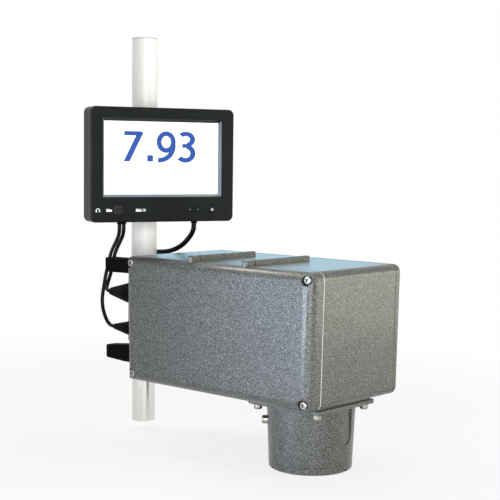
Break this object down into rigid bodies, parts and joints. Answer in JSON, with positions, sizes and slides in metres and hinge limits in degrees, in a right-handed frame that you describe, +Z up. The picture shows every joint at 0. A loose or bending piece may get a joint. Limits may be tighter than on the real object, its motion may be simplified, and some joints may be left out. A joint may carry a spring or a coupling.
{
  "type": "near-infrared moisture sensor",
  "caption": "Near-infrared moisture sensor: cast box housing with a downward measuring snout and inner filter-wheel optics, clamped to a tubular pole with a swivelling display.",
  "frame": {"origin": "centre of the pole's foot, on the pole's axis", "axes": "+Z up along the pole, +X along the housing towards its measuring snout, -Y towards the front lid"},
  "size_m": [0.3692, 0.1922, 0.491],
  "materials": {
    "pole_paint": "satin powder coat",
    "stainless": "bright stainless tube",
    "screw_steel": "machined stainless",
    "housing_paint": "hammered grey paint",
    "clamp_metal": "powder coat",
    "black_rubber": "moulded",
    "grey_rubber": "moulded",
    "bare_aluminium": "machined",
    "snout_finish": "anodised",
    "black_plastic": "moulded",
    "pale_plastic": "moulded",
    "display_plastic": "moulded",
    "panel_face": "display behind glass",
    "eye_glass": "infrared window",
    "window_glass": "optical window",
    "mirror_coat": "gold coated",
    "filter_glass": "interference coated",
    "bulb_glass": "clear",
    "anodised_black": "black anodised",
    "board_laminate": "solder mask",
    "chip_plastic": "moulded",
    "cable_jacket": "extruded jacket"
  },
  "bodies": {
    "stand": {"pole_upper_tube": "pole_paint", "pole_lower_tube": "stainless", "pole_joint_pin": "screw_steel", "pole_end_plugs": "pale_plastic", "housing_body": "housing_paint", "front_lid": "housing_paint", "lid_gasket": "grey_rubber", "lid_screws": "screw_steel", "rear_cover": "housing_paint", "rear_gasket": "grey_rubber", "rear_screws": "screw_steel", "pole_clamp_bracket": "clamp_metal", "clamp_pinch_screws": "screw_steel", "bracket_screws": "screw_steel", "snout_flange": "snout_finish", "flange_gasket": "black_rubber", "flange_screws": "screw_steel", "snout_tube": "snout_finish", "snout_window": "window_glass", "window_retaining_ring": "snout_finish", "snout_side_screw": "screw_steel", "panel_sockets": "screw_steel", "display_plug": "black_plastic", "data_plug": "black_plastic", "supply_plug": "black_plastic", "upper_socket_cap": "black_plastic", "lower_socket_cap": "black_plastic", "cap_screws": "screw_steel", "display_cable": "cable_jacket", "data_cable": "cable_jacket", "supply_cable": "cable_jacket", "optics_standoffs": "screw_steel", "optics_plate": "anodised_black", "mirror_posts": "screw_steel", "collector_mirror": "mirror_coat", "beam_block": "anodised_black", "detector": "screw_steel", "lamp_housing": "anodised_black", "lamp_bulb": "bulb_glass", "lamp_reflector": "mirror_coat", "wheel_motor": "bare_aluminium", "motor_bracket": "bare_aluminium", "main_board": "board_laminate", "board_chips": "chip_plastic"},
    "display": {"monitor_bezel": "display_plastic", "remote_window": "eye_glass", "monitor_shell": "display_plastic", "cable_grommets": "black_rubber", "display_panel": "panel_face", "monitor_clamp": "clamp_metal", "monitor_clamp_screws": "screw_steel"},
    "filter_rotor": {"filter_wheel": "anodised_black", "filters": "filter_glass", "wheel_shaft": "screw_steel"},
    "menu_button_cap": {"menu_button": "display_plastic"},
    "input_button_cap": {"input_button": "display_plastic"},
    "down_button_cap": {"down_button": "display_plastic"},
    "up_button_cap": {"up_button": "display_plastic"},
    "power_button_cap": {"power_button": "display_plastic"}
  },
  "joints": [
    {"name": "display_swivel", "type": "hinge", "parent": "stand", "child": "display", "pos_m": [0, 0, 0.3234], "axis": [0, 0, 1], "range_deg": [-30, 30]},
    {"name": "filter_wheel_spin", "type": "hinge", "parent": "stand", "child": "filter_rotor", "pos_m": [0.181, 0.028, 0.125], "axis": [1, 0, 0], "continuous": true},
    {"name": "menu_press", "type": "slide", "parent": "display", "child": "menu_button_cap", "axis": [-0.9232, 0.3843, 0], "range_m": [0, 0.0008], "stiffness_N_per_m": 600, "springref_m": -0.0008},
    {"name": "input_press", "type": "slide", "parent": "display", "child": "input_button_cap", "axis": [-0.9232, 0.3843, 0], "range_m": [0, 0.0008], "stiffness_N_per_m": 600, "springref_m": -0.0008},
    {"name": "down_press", "type": "slide", "parent": "display", "child": "down_button_cap", "axis": [-0.9232, 0.3843, 0], "range_m": [0, 0.0008], "stiffness_N_per_m": 600, "springref_m": -0.0008},
    {"name": "up_press", "type": "slide", "parent": "display", "child": "up_button_cap", "axis": [-0.9232, 0.3843, 0], "range_m": [0, 0.0008], "stiffness_N_per_m": 600, "springref_m": -0.0008},
    {"name": "power_press", "type": "slide", "parent": "display", "child": "power_button_cap", "axis": [-0.9232, 0.3843, 0], "range_m": [0, 0.0008], "stiffness_N_per_m": 600, "springref_m": -0.0008}
  ]
}
